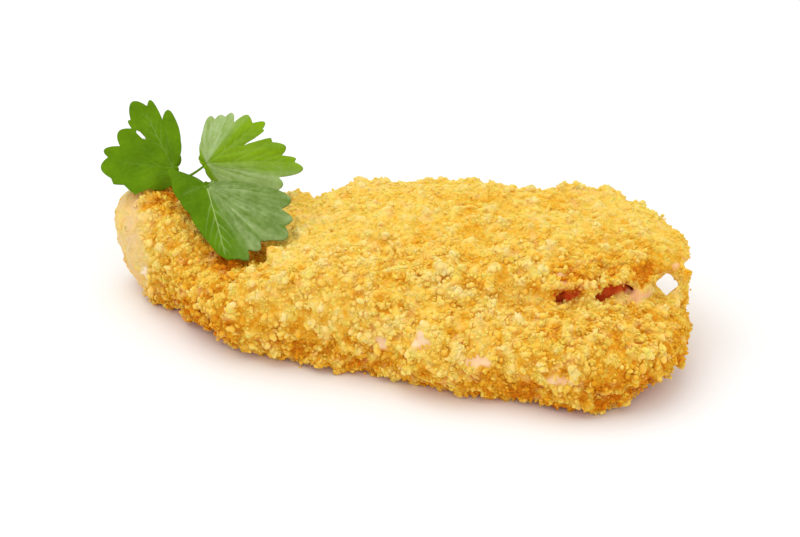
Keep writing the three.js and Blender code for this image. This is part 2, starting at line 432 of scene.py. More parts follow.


# The parsley, in degrees and millimetres. Each leaflet spreads from its base, leans back by lean from
# level, and has its right side raised by roll. outline: [direction, reach] of its tips and notches.
# ribs: [direction, length, bend, how bold]. shine: where a painted sheen makes it greyish, [direction,
# half width, how
# much]. slits: [direction, distance, half length, half width].
leaflets = {
    "left_leaflet": {
        "base": (16.05, 28.17, 11.15), "lean": 60, "roll": -6, "cup": 2.0, "tone": -0.05, "fold": 0.0,
        "outline": [[20, 1], [60, 3.5], [74, 6.8], [82, 10], [88, 12.3], [95, 14.3], [103, 11.8],
                    [109, 17.6], [113, 16.4], [122, 19], [132, 15.6], [134, 16], [137, 14],
                    [147, 16], [158, 14], [166, 17.4], [171, 16], [180, 17.6], [190, 15.4],
                    [196, 15.2], [200, 12.8], [216, 11.4], [220, 8], [255, 5.2], [300, 2]],
        "ribs": [[119, 15, -5, 0.34], [99, 10, 4, 0.1], [176, 13, -4, 0.16], [146, 12, 2, 0.06],
                 [206, 8, -5, 0.1]],
        "shine": [[250, 40, 0.1]],
        "slits": [[135, 11.3, 1.9, 0.5]],
        "seed": 1,
    },
    "right_leaflet": {
        "base": (24.21, 27.77, 12.45), "lean": 58, "roll": 5, "cup": 2.0, "tone": 0.22, "fold": 0.0,
        "outline": [[-75, 4], [-60, 7], [-40, 11.5], [-25, 17], [-16, 19.6], [-11, 18], [-3, 23.6],
                    [1, 21.4], [3, 21.9], [6, 18.4], [12, 19.8], [18, 17], [22, 17], [26, 9.8],
                    [30, 16.4], [31, 16], [35, 17.5], [41, 15], [49, 15.7], [56, 12], [63, 14],
                    [68, 12.4], [73, 12.6], [80, 11], [85, 11.8], [97, 7.8], [104, 5.6],
                    [125, 2.5], [200, 1], [260, 1.5]],
        "ribs": [[4, 19, -6, 0.45], [33, 15, 8, 0.4], [74, 11, 4, 0.25], [-20, 16, 4, 0.25],
                 [-50, 9, 6, 0.2]],
        "shine": [[84, 42, 0.8], [-30, 36, 0.7], [20, 20, 0.15]],
        "slits": [[-21, 12, 0.4, 0.3], [-24, 15, 0.5, 0.35]],
        "seed": 2,
    },
    "front_leaflet": {
        "base": (24.71, 16.27, 11.85), "lean": 36, "roll": 8, "cup": 1.0, "tone": -0.12, "fold": 0.16,
        "outline": [[-120, 8.2], [-99, 11.4], [-88, 14.6], [-82, 17.7], [-75, 20.6], [-68, 21.6],
                    [-63, 23.2], [-60, 20.8], [-54, 22.6], [-50, 20.8], [-44, 22.4], [-37, 24.8],
                    [-31, 22.2], [-25, 23.2], [-21, 19.4], [-13, 21.2], [-7, 18.6], [-3, 15],
                    [3, 8.2], [20, 2.4], [80, 1], [131, 1.5], [142, 6], [150, 11.5], [161, 9.4],
                    [177, 8.6], [203, 7.2]],
        "ribs": [[-74, 19, -3, 1.0], [-46, 21, -3, 0.45], [-30, 21, -2, 0.4], [-10, 18, -3, 0.5],
                 [188, 6, 4, 0.4]],
        "shine": [[-30, 46, 0.9], [12, 30, 0.8]],
        "slits": [],
        "seed": 3,
    },
}
# What the leaflets share. branches is where they leave their rib, as shares of its length.
leafShape = {
    "around": 460, "outward": 38, "thick": 0.3 * mm,
    "ribWide": 0.36 * mm, "ribDeep": 0.2 * mm, "puff": 0.3 * mm, "puffWide": 2.6 * mm,
    "branches": (0.3, 0.5, 0.68, 0.84), "branchAngle": 32, "branchLength": 0.5, "branchBold": 0.35,
    "branchBend": 12, "branchesApart": 0.05, "taper": 0.75,
    "wave": 0.6 * mm, "waves": 5, "cupReach": 20 * mm, "crinkle": 0.5 * mm, "crinkleSize": 5 * mm,
    "streakSize": 3.4, "streaksAlong": 9,
}
stalkShape = {
    "joint": (18.71, 26.77, 8.95), "thick": 0.3 * mm, "sag": 1.2 * mm, "into": 0.8, "taper": (1.2, 0.8),
}


# How far the leaflet reaches in each direction. It rounds off towards a tip.
def reachTowards(direction, outline):
    reach = np.zeros(direction.shape)
    for number, (fromAngle, fromReach) in enumerate(outline):
        before = outline[number - 1][1]
        toAngle, toReach = outline[(number + 1) % len(outline)]
        after = outline[(number + 2) % len(outline)][1]
        span = (toAngle - fromAngle) % 360
        share = ((direction - fromAngle) % 360) / span
        here = share <= 1
        if toReach > max(fromReach, after):
            share = np.sin(share * math.pi / 2)
        elif fromReach > max(toReach, before):
            share = 1 - np.cos(share * math.pi / 2)
        reach[here] = (fromReach + (toReach - fromReach) * share)[here]
    return reach * mm


# Points from start, turning evenly by bend degrees.
def veinCourse(start, direction, length, bend):
    shares = np.linspace(0, 1, 12)
    angles = np.radians(direction + bend * shares)
    steps = np.stack([np.cos(angles), np.sin(angles)], axis=1) * length * mm / (len(shares) - 1)
    return start + np.concatenate([[[0, 0]], np.cumsum(steps[1:], axis=0)]), shares


def distanceTo(points, start, end):
    along = end - start
    share = np.clip(((points - start) @ along) / np.dot(along, along), 0, 1)
    return np.linalg.norm(points - start - share[:, None] * along, axis=1), share


# How strongly a vein shows at each point, 1 on the boldest, and how far the nearest one is.
def veinsOf(points, leaflet):
    courses = []
    for direction, length, bend, bold in leaflet["ribs"]:
        course, shares = veinCourse(np.zeros(2), direction, length, bend)
        courses.append((course, bold))
        for number, place in enumerate(leafShape["branches"]):
            for side in (-1, 1):
                at = place + leafShape["branchesApart"] * side
                start = np.array([np.interp(at, shares, course[:, k]) for k in (0, 1)])
                reach = length * leafShape["branchLength"] * (1.15 - place)
                turned = direction + bend * place + side * leafShape["branchAngle"]
                branch = veinCourse(start, turned, reach, -side * leafShape["branchBend"])[0]
                courses.append((branch, bold * leafShape["branchBold"]))
    strength, nearest = np.zeros(len(points)), np.full(len(points), 1.0)
    for course, bold in courses:
        for number in range(len(course) - 1):
            away, share = distanceTo(points, course[number], course[number + 1])
            taper = 1 - leafShape["taper"] * (number + share) / (len(course) - 1)
            width = leafShape["ribWide"] * (0.5 + 0.7 * bold * taper)
            strength = np.maximum(strength, bold * taper * (1 - smoothStep(0.3, 1.0, away / width)))
            nearest = np.minimum(nearest, away + (1 - bold) * 1.2 * mm)
    return strength, nearest


def turnedIntoPlace(places, leaflet):
    lean = Matrix.Rotation(math.radians(leaflet["lean"]), 3, "X")
    roll = Matrix.Rotation(-math.radians(leaflet["roll"]), 3, "Y")
    return places @ np.array(lean @ roll).T + fromParsley(*leaflet["base"])


# How high each point stands out of the leaflet's plane.
def leafRelief(flat, direction, share, reach, strength, nearest, leaflet, phase):
    height = leafShape["puff"] * smoothStep(0, leafShape["puffWide"], nearest) * (1 - 0.5 * share ** 2)
    height -= leafShape["ribDeep"] * strength
    height -= leaflet["cup"] * mm * (reach * share / leafShape["cupReach"]) ** 2
    height += leafShape["wave"] * share ** 2 * np.sin(np.radians(direction) * leafShape["waves"] + phase)
    level = np.column_stack([flat, np.zeros(len(flat))])
    height += leafShape["crinkle"] * noiseAt(level, leafShape["crinkleSize"], phase)
    mainRib = math.radians(leaflet["ribs"][0][0])
    aside = flat @ np.array([math.sin(mainRib), -math.cos(mainRib)])
    return height - leaflet["fold"] * np.maximum(0, aside)


def shineOf(direction, leaflet):
    shine = np.zeros(len(direction))
    for middle, halfWidth, amount in leaflet["shine"]:
        aside = np.abs((direction - middle + 180) % 360 - 180) / halfWidth
        shine = np.maximum(shine, amount * (1 - smoothStep(0.5, 1.1, aside)))
    return shine


# How far each point is from the middle of the nearest slit, 1 on its edge and anywhere outside.
def slitOf(flat, leaflet):
    slit = np.ones(len(flat))
    for towards, far, halfLong, halfWide in leaflet["slits"]:
        along = np.array([math.cos(math.radians(towards)), math.sin(math.radians(towards))])
        across = np.array([-along[1], along[0]])
        away = flat / mm - along * far
        here = np.sqrt((away @ along / halfLong) ** 2 + (away @ across / halfWide) ** 2)
        slit = np.minimum(slit, here)
    return slit


def deleteFaces(piece, inside):
    setMode("EDIT")
    bpy.ops.mesh.select_all(action="DESELECT")
    setMode("OBJECT")
    for face in piece.data.polygons:
        face.select = all(inside[vertex] for vertex in face.vertices)
    setMode("EDIT")
    bpy.ops.mesh.delete(type="FACE")
    setMode("OBJECT")


def makeLeaflet(name):
    leaflet = leaflets[name]
    piece = addPiece(bpy.ops.mesh.primitive_grid_add, size=1,
                     x_subdivisions=leafShape["around"], y_subdivisions=leafShape["outward"])
    piece.name = name
    grid = vertexPlaces(piece.data)
    direction, share = (grid[:, 0] + 0.5) * 360, grid[:, 1] + 0.5
    reach = reachTowards(direction, leaflet["outline"])
    ahead = np.stack([np.cos(np.radians(direction)), np.sin(np.radians(direction))], axis=1)
    flat = ahead * (reach * share)[:, None]
    phase = leaflet["seed"] * 2.1
    strength, nearest = veinsOf(flat, leaflet)
    height = leafRelief(flat, direction, share, reach, strength, nearest, leaflet, phase)
    streaks = np.column_stack([direction, share * leafShape["streaksAlong"], np.zeros(len(flat))])
    setVertexPlaces(piece.data, turnedIntoPlace(np.column_stack([flat, height]), leaflet))
    setAttributes(piece.data, vein=strength, shine=shineOf(direction, leaflet),
                  streak=noiseAt(streaks, leafShape["streakSize"], phase),
                  tone=np.full(len(flat), leaflet["tone"]))
    deleteFaces(piece, slitOf(flat, leaflet) < 1)
    weld()
    applyModifier(piece, "SOLIDIFY", thickness=leafShape["thick"], offset=-1.0)
    return finishLeafPiece(piece)


def finishLeafPiece(piece):
    shadeSmooth(piece)
    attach(piece, "root")
    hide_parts("parsley")
    return piece


def makeStalks():
    stalks = []
    joint = Vector(fromParsley(*stalkShape["joint"]))
    for leaflet in leaflets.values():
        base = Vector(fromParsley(*leaflet["base"]))
        curve = addPiece(bpy.ops.curve.primitive_bezier_curve_add).data
        middle = (joint + base) / 2 - Vector((0, 0, stalkShape["sag"]))
        start, end = curve.splines[0].bezier_points
        start.co = joint
        end.co = base + (base - joint).normalized() * stalkShape["into"] * mm
        for point in (start, end):
            point.handle_left_type = point.handle_right_type = "FREE"
        start.handle_right = start.handle_left = (joint + middle) / 2
        end.handle_left = end.handle_right = (base + middle) / 2
        curve.bevel_depth = stalkShape["thick"]
        curve.bevel_resolution = 3
        curve.use_fill_caps = True
        start.radius, end.radius = stalkShape["taper"]
        bpy.ops.object.convert(target="MESH")
        stalks.append(bpy.context.object)
    piece = joinPieces(stalks)
    piece.name = "parsley_stalks"
    bpy.ops.object.transform_apply(location=True, rotation=True, scale=True)
    return finishLeafPiece(piece)


print("making the parsley")
leafletPieces = [makeLeaflet(name) for name in leaflets]
stalks = makeStalks()


# The crumbs. The pressed kinds are merged into the crust, and each loose kind is laid on it and on
# the kinds before it. gap is how near two of a kind may lie and sunk how deep one sits in what it
# lies on, as shares of their size. ahead is how much free space one needs in front of it.
kindColumns = ("count", "small", "large", "ahead", "gap", "sunk", "lumps", "faces", "seed")
crumbKinds = {
    "coarse_pressed": (1150, 2.2 * mm, 4.2 * mm, 4.6 * mm, 0.8, 0.3, 9, 200, 11),
    "medium_pressed": (4600, 1.1 * mm, 1.9 * mm, 4.6 * mm, 0.78, 0.38, 5, 60, 12),
    "coarse_crumbs": (1950, 1.5 * mm, 2.6 * mm, 4.6 * mm, 0.7, 0.6, 5, 90, 21),
    "medium_crumbs": (3250, 1.0 * mm, 1.6 * mm, 1.6 * mm, 0.7, 0.55, 4, 56, 22),
    "small_crumbs": (5400, 0.7 * mm, 1.05 * mm, 1.2 * mm, 0.7, 0.5, 3, 34, 23),
    "fine_crumbs": (3500, 0.5 * mm, 0.7 * mm, 1.0 * mm, 0.75, 0.45, 2, 24, 24),
}
# What all kinds share, as shares of a crumb's size. The higher skew is, the more of them are small.
# Where the coat is flat they are sunk deeper by sunkFlat.
crumbShape = {
    "variants": 9, "spread": 0.19, "lumpSmall": 0.2, "lumpLarge": 0.33, "voxel": 0.055, "rough": 0.03,
    "thin": 0.84, "long": 1.14, "skew": 1.5, "toneSpread": 0.06, "sunkFlat": 0.3, "ownHeight": 0.8,
}
triesEach = 6     # spots that are tried for each crumb
# The crumbs that hang over the pocket's upper lip, and lie on its lower one: where, and how large.
lipCrumbs = [
    [104, 21.8, 24.6, 2.8], [106.4, 21.8, 25, 2.4], [108.8, 22, 24.8, 2.4],
    [111, 23.4, 24.8, 2.6], [113, 22.8, 23.4, 2.4], [113.6, 23, 21.8, 2.8],
    [114.4, 23.6, 24.2, 2.8], [117.4, 24.6, 25.2, 2.8], [119.2, 25.2, 24.2, 2],
    [121.4, 26.2, 24.8, 3], [123.8, 27, 23.8, 2.6], [125.2, 27.8, 21.5, 2.2],
    [126.6, 28, 22, 2.6], [126.6, 28.2, 22.8, 2.8], [127.4, 28.6, 21.4, 2.8],
    [129.4, 29.6, 22.4, 3], [104.2, 21.4, 20.4, 2.6], [107, 22.4, 18.9, 2.2],
    [109.8, 22.6, 19, 2.2], [112.4, 22.8, 20, 2.6], [113.8, 23, 19.8, 2.6],
    [117, 23.8, 19, 2.2], [119.8, 24.4, 19.6, 2.8], [123, 25.6, 18.9, 2.2],
    [105.6, 22.4, 20, 2.2], [108.4, 21.8, 19.2, 2.4], [111, 22.6, 18.8, 2.2],
    [118.4, 23.8, 19.4, 2.2], [121.4, 25, 19.4, 2.4], [128.4, 31.6, 18.8, 2.4],
    [121, 25.4, 19.7, 2.2], [122.6, 26.4, 19.9, 2.2], [115.8, 24, 22.8, 2.2],
    [104.6, 21.9, 21.6, 2.6], [124.5, 27.6, 22.3, 2], [125, 27.6, 19.4, 2.8],
    [126.6, 28.4, 19.8, 3.2], [128.6, 29.8, 19.8, 3.2],
]
# The filling behind the lips: where it bulges towards the mouth of the pocket, and how large.
fillingLumps = [
    [106.2, 26, 20.4, 3.8], [108.6, 25.8, 20.4, 4], [111.2, 26, 20.6, 4.2],
    [114, 26.8, 20.4, 4], [117, 27.6, 20.4, 4], [120, 28.6, 20.4, 4],
    [122.8, 29.8, 20.4, 4], [115.6, 28.4, 19.4, 4], [118.8, 28.2, 19.2, 3.6],
]
lumpKind = {"lumps": 9, "faces": 220, "facing": (0.0, -0.6, 0.8)}
# From how high a crumb comes down, how far off the leaf it stays, and where its free space starts
drop = {"from": 3.6 * mm, "leaf": 0.1 * mm, "room": 0.5 * mm}
# Where crumbs would lie this high on others, up to this share of them is left out
pile = {"from": 0.8 * mm, "to": 1.9 * mm, "share": 0.85}


# One crumb of size 1 round its own middle.
def makeCrumbShape(kind, seed):
    draw = np.random.default_rng(seed)
    lumps = []
    for lump in range(kind["lumps"]):
        place = draw.normal(0, crumbShape["spread"], 3) if lump else np.zeros(3)
        radius = draw.uniform(crumbShape["lumpSmall"], crumbShape["lumpLarge"])
        sphere = bpy.ops.mesh.primitive_ico_sphere_add
        lumps.append(addPiece(sphere, subdivisions=3, radius=radius, location=place))
    piece = joinPieces(lumps)
    remeshTo(piece, crumbShape["voxel"])
    editWhole(bpy.ops.transform.vertex_random, offset=crumbShape["rough"], uniform=0.3,
              normal=0.7, seed=seed)
    applyModifier(piece, "DECIMATE", ratio=kind["faces"] / len(triangleCorners(piece.data)))
    places = vertexPlaces(piece.data)
    corners = triangleCorners(piece.data)
    places -= (places.max(axis=0) + places.min(axis=0)) / 2
    places /= (places.max(axis=0) - places.min(axis=0)).mean()
    bpy.data.objects.remove(piece)
    return places, corners


def randomTurns(draw, count):
    q = draw.normal(size=(count, 4))
    q /= np.linalg.norm(q, axis=1, keepdims=True)
    w, x, y, z = q.T
    return np.stack([
        1 - 2 * (y * y + z * z), 2 * (x * y - z * w), 2 * (x * z + y * w),
        2 * (x * y + z * w), 1 - 2 * (x * x + z * z), 2 * (y * z - x * w),
        2 * (x * z - y * w), 2 * (y * z + x * w), 1 - 2 * (x * x + y * y),
    ], axis=1).reshape(-1, 3, 3)


# Spots on the piece, as many as tries, more of them where density is high, and where they face.
def randomSpots(piece, draw, tries, density):
    mesh = piece.data
    places, corners, normals = vertexPlaces(mesh), triangleCorners(mesh), vertexNormals(mesh)
    a, b, c = (places[corners[:, i]] for i in range(3))
    area = np.linalg.norm(np.cross(b - a, c - a), axis=1) / 2
    chance = area * density((a + b + c) / 3)
    picked = draw.choice(len(corners), size=tries, p=chance / chance.sum())
    s, t = draw.random(tries), draw.random(tries)
    flip = s + t > 1
    s[flip], t[flip] = 1 - s[flip], 1 - t[flip]
    spots = a[picked] + (b - a)[picked] * s[:, None] + (c - a)[picked] * t[:, None]
    facing = normals[corners[picked]].mean(axis=1)
    return spots, facing / np.linalg.norm(facing, axis=1, keepdims=True)


# Keeps the spots that are far enough from the others and have free space in front of them.
def freeSpots(spots, facing, sizes, kind):
    kept, cells = [], {}
    steps = [(i, j, k) for i in (-1, 0, 1) for j in (-1, 0, 1) for k in (-1, 0, 1)]
    keys = (spots // kind["large"]).astype(int).tolist()
    for i, (x, y, z) in enumerate(keys):
        near = [j for step in steps for j in cells.get((x + step[0], y + step[1], z + step[2]), ())]
        if near:
            apart = np.linalg.norm(spots[near] - spots[i], axis=1)
            if np.any(apart < (sizes[near] + sizes[i]) / 2 * kind["gap"]):
                continue
        start = Vector(spots[i] + facing[i] * drop["room"])
        if bedTree.ray_cast(start, Vector(facing[i]), kind["ahead"])[0] is not None:
            continue
        cells.setdefault((x, y, z), []).append(i)
        kept.append(i)
        if len(kept) == kind["count"]:
            break
    return kept


# Where a crumb's middle lands on what already lies there. It stays off beside the leaf and, when
# luck is low, on top of other crumbs.
def landingOf(spot, facing, size, tree, sunk, luck):
    start = Vector(spot + facing * drop["from"])
    hit = tree.ray_cast(start, -Vector(facing), drop["from"])[0]
    ground = np.array(hit) if hit is not None else spot
    if luck < pile["share"] * smoothStep(pile["from"], pile["to"], np.dot(ground - spot, facing)):
        return None
    centre = ground + facing * size * (0.5 - sunk)
    leafNear = leafTree.find_nearest(Vector(centre), size / 2 + drop["leaf"])[0]
    return None if leafNear is not None else centre


# Joins crumbs of a kind into one piece. heights are those of the spots under them over the bed.
def joinCrumbs(name, kind, draw, centres, spots, facing, sizes, heights):
    shapes = [makeCrumbShape(kind, seed) for seed in range(crumbShape["variants"])]
    turns = randomTurns(draw, len(centres))
    stretch = draw.uniform(crumbShape["thin"], crumbShape["long"], size=(len(centres), 3))
    tone = draw.normal(0, crumbShape["toneSpread"], len(centres))
    allPlaces, allCorners, tones, exposed, first = [], [], [], [], 0
    for i, centre in enumerate(centres):
        shape, corners = shapes[i % len(shapes)]
        body = centre + (shape * stretch[i]) @ turns[i].T * sizes[i]
        allPlaces.append(body)
        allCorners.append(corners + first)
        first += len(shape)
        tones.append(np.full(len(shape), tone[i]))
        # Painted light on each crumb: its top is paler, and its lower side is more orange as painted
        # shade.
        ownHeight = (body - spots[i]) @ facing[i] / mm * crumbShape["ownHeight"]
        exposed.append(exposedAt(heights[i] + ownHeight))
    places = np.concatenate(allPlaces)
    places[:, 2] = np.maximum(places[:, 2], 0)
    mesh = bpy.data.meshes.new(name)
    mesh.from_pydata(places, [], np.concatenate(allCorners))
    setZones(mesh, places, np.concatenate(tones))
    setAttributes(mesh, exposed=np.concatenate(exposed))
    piece = addObject(name, mesh)
    print(name + ":", len(centres), "laid,", len(mesh.polygons), "faces")
    return piece


# Where it lies: how rugged the coat is there, and how much paler or more golden, partly as painted
# shade.
def setZones(mesh, places, toneShift=0.0):
    setAttributes(mesh, tone=zoneToneAndShade(places) + toneShift, rugged=ruggedAt(places),
                  floury=flouryAt(places))


# Painted shade and light: 0 in the hollows, which are painted deep orange, up to 1 on the tops, which
# are painted pale.
def exposedAt(heights):
    return smoothStep(coat["hollow"], coat["top"], heights)


# How high each place lies over the bed, in millimetres, and how enclosed the bed is there.
def overBed(places):
    corners = triangleCorners(bed.data)
    heights, enclosed = np.zeros(len(places)), np.zeros(len(places))
    for i, place in enumerate(places):
        ground, normal, face, away = bedTree.find_nearest(Vector(place))
        heights[i] = math.copysign(away, (Vector(place) - ground).dot(normal)) / mm
        enclosed[i] = bedEnclosed[corners[face]].mean()
    return heights, enclosed


def scatterCrumbs(name, ground, density, tree):
    kind = dict(zip(kindColumns, crumbKinds[name]))
    draw = np.random.default_rng(kind["seed"])
    tries = kind["count"] * triesEach
    spots, facing = randomSpots(ground, draw, tries, density)
    sizes = kind["small"] + (kind["large"] - kind["small"]) * draw.random(tries) ** crumbShape["skew"]
    luck = draw.random(tries)
    sunk = kind["sunk"] + crumbShape["sunkFlat"] * (1 - ruggedAt(spots))
    kept, centres = [], []
    for i in freeSpots(spots, facing, sizes, kind):
        centre = landingOf(spots[i], facing[i], sizes[i], tree, sunk[i], luck[i])
        if centre is not None:
            kept.append(i)
            centres.append(centre)
    spots = spots[kept]
    heights = overBed(spots)[0]
    return joinCrumbs(name, kind, draw, np.array(centres), spots, facing[kept], sizes[kept], heights)


def finishLooseCrumbs(piece):
    shadeSmooth(piece)
    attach(piece, "root")
    return piece


# Lumps of crumbs at set places: x, y, z and size.
def layLumps(name, rows, seed):
    rows = np.array(rows)
    centres = np.array([fromCutlet(*row[:3]) for row in rows])
    facing = np.tile(lumpKind["facing"], (len(rows), 1))
    spots = centres - facing * rows[:, 3:] / 2 * mm
    sizes, heights = rows[:, 3] * mm, np.zeros(len(rows))
    draw = np.random.default_rng(seed)
    return joinCrumbs(name, lumpKind, draw, centres, spots, facing, sizes, heights)


# How far each place belongs to the filling behind the lips.
def fillingAt(places):
    share = np.zeros(len(places))
    for x, y, z, size in fillingLumps:
        away = np.linalg.norm(places - fromCutlet(x, y, z), axis=1) / (size / 2 * mm)
        share = np.maximum(share, 1 - smoothStep(1.1, 1.4, away))
    return share


# The crumbs all round the gap, where there is meat to hold them.
def gapRim():
    rows = []
    for far, count, reach in gap["rims"]:
        for turn in np.linspace(0, 2 * math.pi, count, endpoint=False):
            across, upright = math.cos(turn), math.sin(turn)
            share = far / (abs(across) + abs(upright))
            away = Vector((across * share * gap["halfWide"], upright * share * gap["halfTall"], 0))
            place = Vector(gap["place"]) + gapTurn() @ away
            if bedTree.find_nearest(Vector(fromCutlet(*place)), reach * mm)[0] is not None:
                rows.append([*place, gap["rimCrumb"]])
    return rows


# Cuts the gap with a long cone that has a corner and a drawn-in side by turns.
def cutGap(piece):
    cutter = addPiece(bpy.ops.mesh.primitive_cone_add, vertices=8,
                      radius1=1 + gap["behind"] * gap["widens"],
                      radius2=1 - gap["ahead"] * gap["widens"],
                      depth=gap["ahead"] + gap["behind"])
    places = vertexPlaces(cutter.data)
    atSides = np.minimum(np.abs(places[:, 0]), np.abs(places[:, 1])) > 0.1
    places[:, :2] *= np.where(atSides, gap["sides"], gap["corners"])[:, None]
    setVertexPlaces(cutter.data, places)
    turn = gapTurn().to_4x4()
    size = Matrix.Diagonal((gap["halfWide"] * mm, gap["halfTall"] * mm, mm, 1))
    middle = Matrix.Translation((0, 0, (gap["ahead"] - gap["behind"]) / 2))
    cutter.matrix_world = Matrix.Translation(fromCutlet(*gap["place"])) @ turn @ size @ middle
    bpy.context.view_layer.update()
    applyModifier(piece, "BOOLEAN", operation="DIFFERENCE", solver="MANIFOLD", object=cutter)
    piece.data.materials.clear()
    bpy.data.objects.remove(cutter)


# Merges the bed and the pressed crumbs into one skin.
def makeCrust(pressed):
    piece = addObject("coated_meat", bed.data.copy())
    makeActive(piece)
    joinPieces(pressed)
    remeshTo(piece, coat["crustVoxel"])
    cutGap(piece)
    remeshTo(piece, coat["crustVoxel"])
    smoothOut(piece, coat["crustSmoothing"])
    applyModifier(piece, "DECIMATE", ratio=coat["crustFaces"] / len(triangleCorners(piece.data)))
    places = vertexPlaces(piece.data)
    places[:, 2] = np.maximum(places[:, 2], 0)
    setVertexPlaces(piece.data, places)
    heights, enclosed = overBed(places)
    enclosed = np.maximum(enclosed * (1 - smoothStep(0.5, 1.0, heights)), fillingAt(places))
    bare, white = bareAt(places)
    setZones(piece.data, places)
    setAttributes(piece.data, exposed=exposedAt(heights), bare=bare, white=white, enclosed=enclosed)
    shadeSmooth(piece)
    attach(piece, "root")
    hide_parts("cutlet")
    print("coated meat:", len(piece.data.polygons), "faces")
    return piece


def between(values, limits, margin=0.0):
    return (values > limits[0] - margin) & (values < limits[1] + margin)


# Behind the lips of the pocket.
def inPocket(places):
    inDepth = behindLips(places) > 0
    return between(fromLeft(places), pocket["x"]) & inDepth & between(places[:, 2] / mm, pocket["z"])


# In the mouths of its two slits or in the bare patch beside them, or nearer to them than margin.
def inSlits(places, margin=0.0):
    inDepth = behindLips(places) > slits["front"] - margin
    along = between(fromLeft(places), slits["x"], margin) & inDepth
    return along & between(places[:, 2] / mm, slits["z"], margin)


# How densely each kind lies. The large ones lie in groups, mostly in front, and leave out the floury
# end, the right end and the edges of the slits.
dense = {
    "foot": (0.3 * mm, 1.2 * mm), "bare": 0.8, "fineLeast": 0.3, "fineMore": 0.7, "fineFloury": 0.85,
    "groupSize": 7 * mm, "groupSeed": 5.0, "leafSide": 1.4, "ends": (130, 135), "endsLess": 0.95,
    "coarseLeast": 0.1, "coarseMore": 0.9, "coarseAside": 1.6,
}


def onSides(places):
    aboveTable = smoothStep(*dense["foot"], places[:, 2])
    kept = (1 - bareAt(places)[0] * dense["bare"]) * (1 - fillingAt(places)) * ~inPocket(places)
    return aboveTable * kept * awayFromGap(places, gap["clear"])


def fineDensity(places):
    inRelief = dense["fineLeast"] + dense["fineMore"] * ruggedAt(places)
    return onSides(places) * inRelief * (1 - dense["fineFloury"] * flouryAt(places))


def mediumDensity(places):
    return onSides(places) * ~inSlits(places) * awayFromGap(places, gap["small"])


def coarseDensity(places):
    inRelief = dense["coarseLeast"] + dense["coarseMore"] * ruggedAt(places)
    groups = (1 + noiseAt(places, dense["groupSize"], dense["groupSeed"])) ** 2
    inGroups = np.maximum(groups, dense["leafSide"] * besideLeafAt(places))
    atLeft = smoothStep(0.2, 0.8, 1 - flouryAt(places))
    atRight = 1 - dense["endsLess"] * smoothStep(*dense["ends"], fromLeft(places))
    offSlits = mediumDensity(places) * ~inSlits(places, dense["coarseAside"])
    return offSlits * inRelief * np.minimum(atLeft, atRight) * inGroups


print("scattering the crumbs")
leafTree = pieceTree(*leafletPieces)
coatedMeat = makeCrust([
    scatterCrumbs("coarse_pressed", bed, coarseDensity, bedTree),
    scatterCrumbs("medium_pressed", bed, mediumDensity, bedTree),
    layLumps("lip_crumbs", lipCrumbs + gapRim(), 15),
    layLumps("filling", fillingLumps, 16),
])
looseCrumbs = []
for name, density in (("coarse_crumbs", coarseDensity), ("medium_crumbs", mediumDensity),
                      ("small_crumbs", fineDensity), ("fine_crumbs", fineDensity)):
    laidOn = pieceTree(coatedMeat, *looseCrumbs)
    looseCrumbs.append(finishLooseCrumbs(scatterCrumbs(name, coatedMeat, density, laidOn)))
bpy.data.objects.remove(bed)


# Materials. Their sizes are those of the grain in them.
def newMaterial(name):
    material = bpy.data.materials.new(name)
    material.use_nodes = True
    tree = material.node_tree
    return material, tree, tree.nodes["Principled BSDF"]


def addNode(tree, kind, **settings):
    node = tree.nodes.new(kind)
    for key, value in settings.items():
        setattr(node, key, value)
    return node


def setInputs(node, values):
    for name, value in values.items():
        node.inputs[name].default_value = value


def mathNode(tree, operation, first, second, clamp=False):
    node = addNode(tree, "ShaderNodeMath", operation=operation, use_clamp=clamp)
    for socket, value in zip(node.inputs, (first, second)):
        if isinstance(value, (int, float)):
            socket.default_value = value
        else:
            tree.links.new(value, socket)
    return node.outputs[0]


def sumNode(tree, *shares):
    total = shares[0]
    for share in shares[1:]:
        total = mathNode(tree, "ADD", total, share)
    return total


def noiseNode(tree, size, detail=3.0):
    place = addNode(tree, "ShaderNodeTexCoord")
    node = addNode(tree, "ShaderNodeTexNoise")
    setInputs(node, {"Scale": 1 / size, "Detail": detail})
    tree.links.new(place.outputs["Object"], node.inputs["Vector"])
    return node.outputs["Fac"]


# Noise round 0, as strong as gain.
def unevenness(tree, size, gain, detail=3.0):
    around = mathNode(tree, "SUBTRACT", noiseNode(tree, size, detail), 0.5)
    return mathNode(tree, "MULTIPLY", around, gain)


def attributeNode(tree, name, gain=1.0):
    share = addNode(tree, "ShaderNodeAttribute", attribute_name=name).outputs["Fac"]
    return mathNode(tree, "MULTIPLY", share, gain) if gain != 1.0 else share


def rampNode(tree, share, stops):
    ramp = addNode(tree, "ShaderNodeValToRGB")
    while len(ramp.color_ramp.elements) < len(stops):
        ramp.color_ramp.elements.new(0.5)
    for element, (position, colour) in zip(ramp.color_ramp.elements, stops):
        element.position = position
        element.color = (*colour, 1)
    tree.links.new(share, ramp.inputs["Fac"])
    return ramp.outputs["Color"]


def mixNode(tree, share, first, second):
    mix = addNode(tree, "ShaderNodeMix", data_type="RGBA")
    tree.links.new(share, mix.inputs["Factor"])
    for socket, value in zip((mix.inputs[6], mix.inputs[7]), (first, second)):
        if isinstance(value, tuple):
            socket.default_value = (*value, 1)
        else:
            tree.links.new(value, socket)
    return mix.outputs[2]


def bumpNode(tree, height, distance):
    node = addNode(tree, "ShaderNodeBump")
    setInputs(node, {"Distance": distance, "Strength": 1.0})
    tree.links.new(height, node.inputs["Height"])
    return node.outputs["Normal"]


crumbColours = [
    (0.00, (0.620, 0.190, 0.004)),
    (0.25, (0.760, 0.370, 0.016)),
    (0.50, (0.860, 0.560, 0.088)),
    (0.75, (0.875, 0.640, 0.185)),
    (1.00, (0.880, 0.680, 0.300)),
]
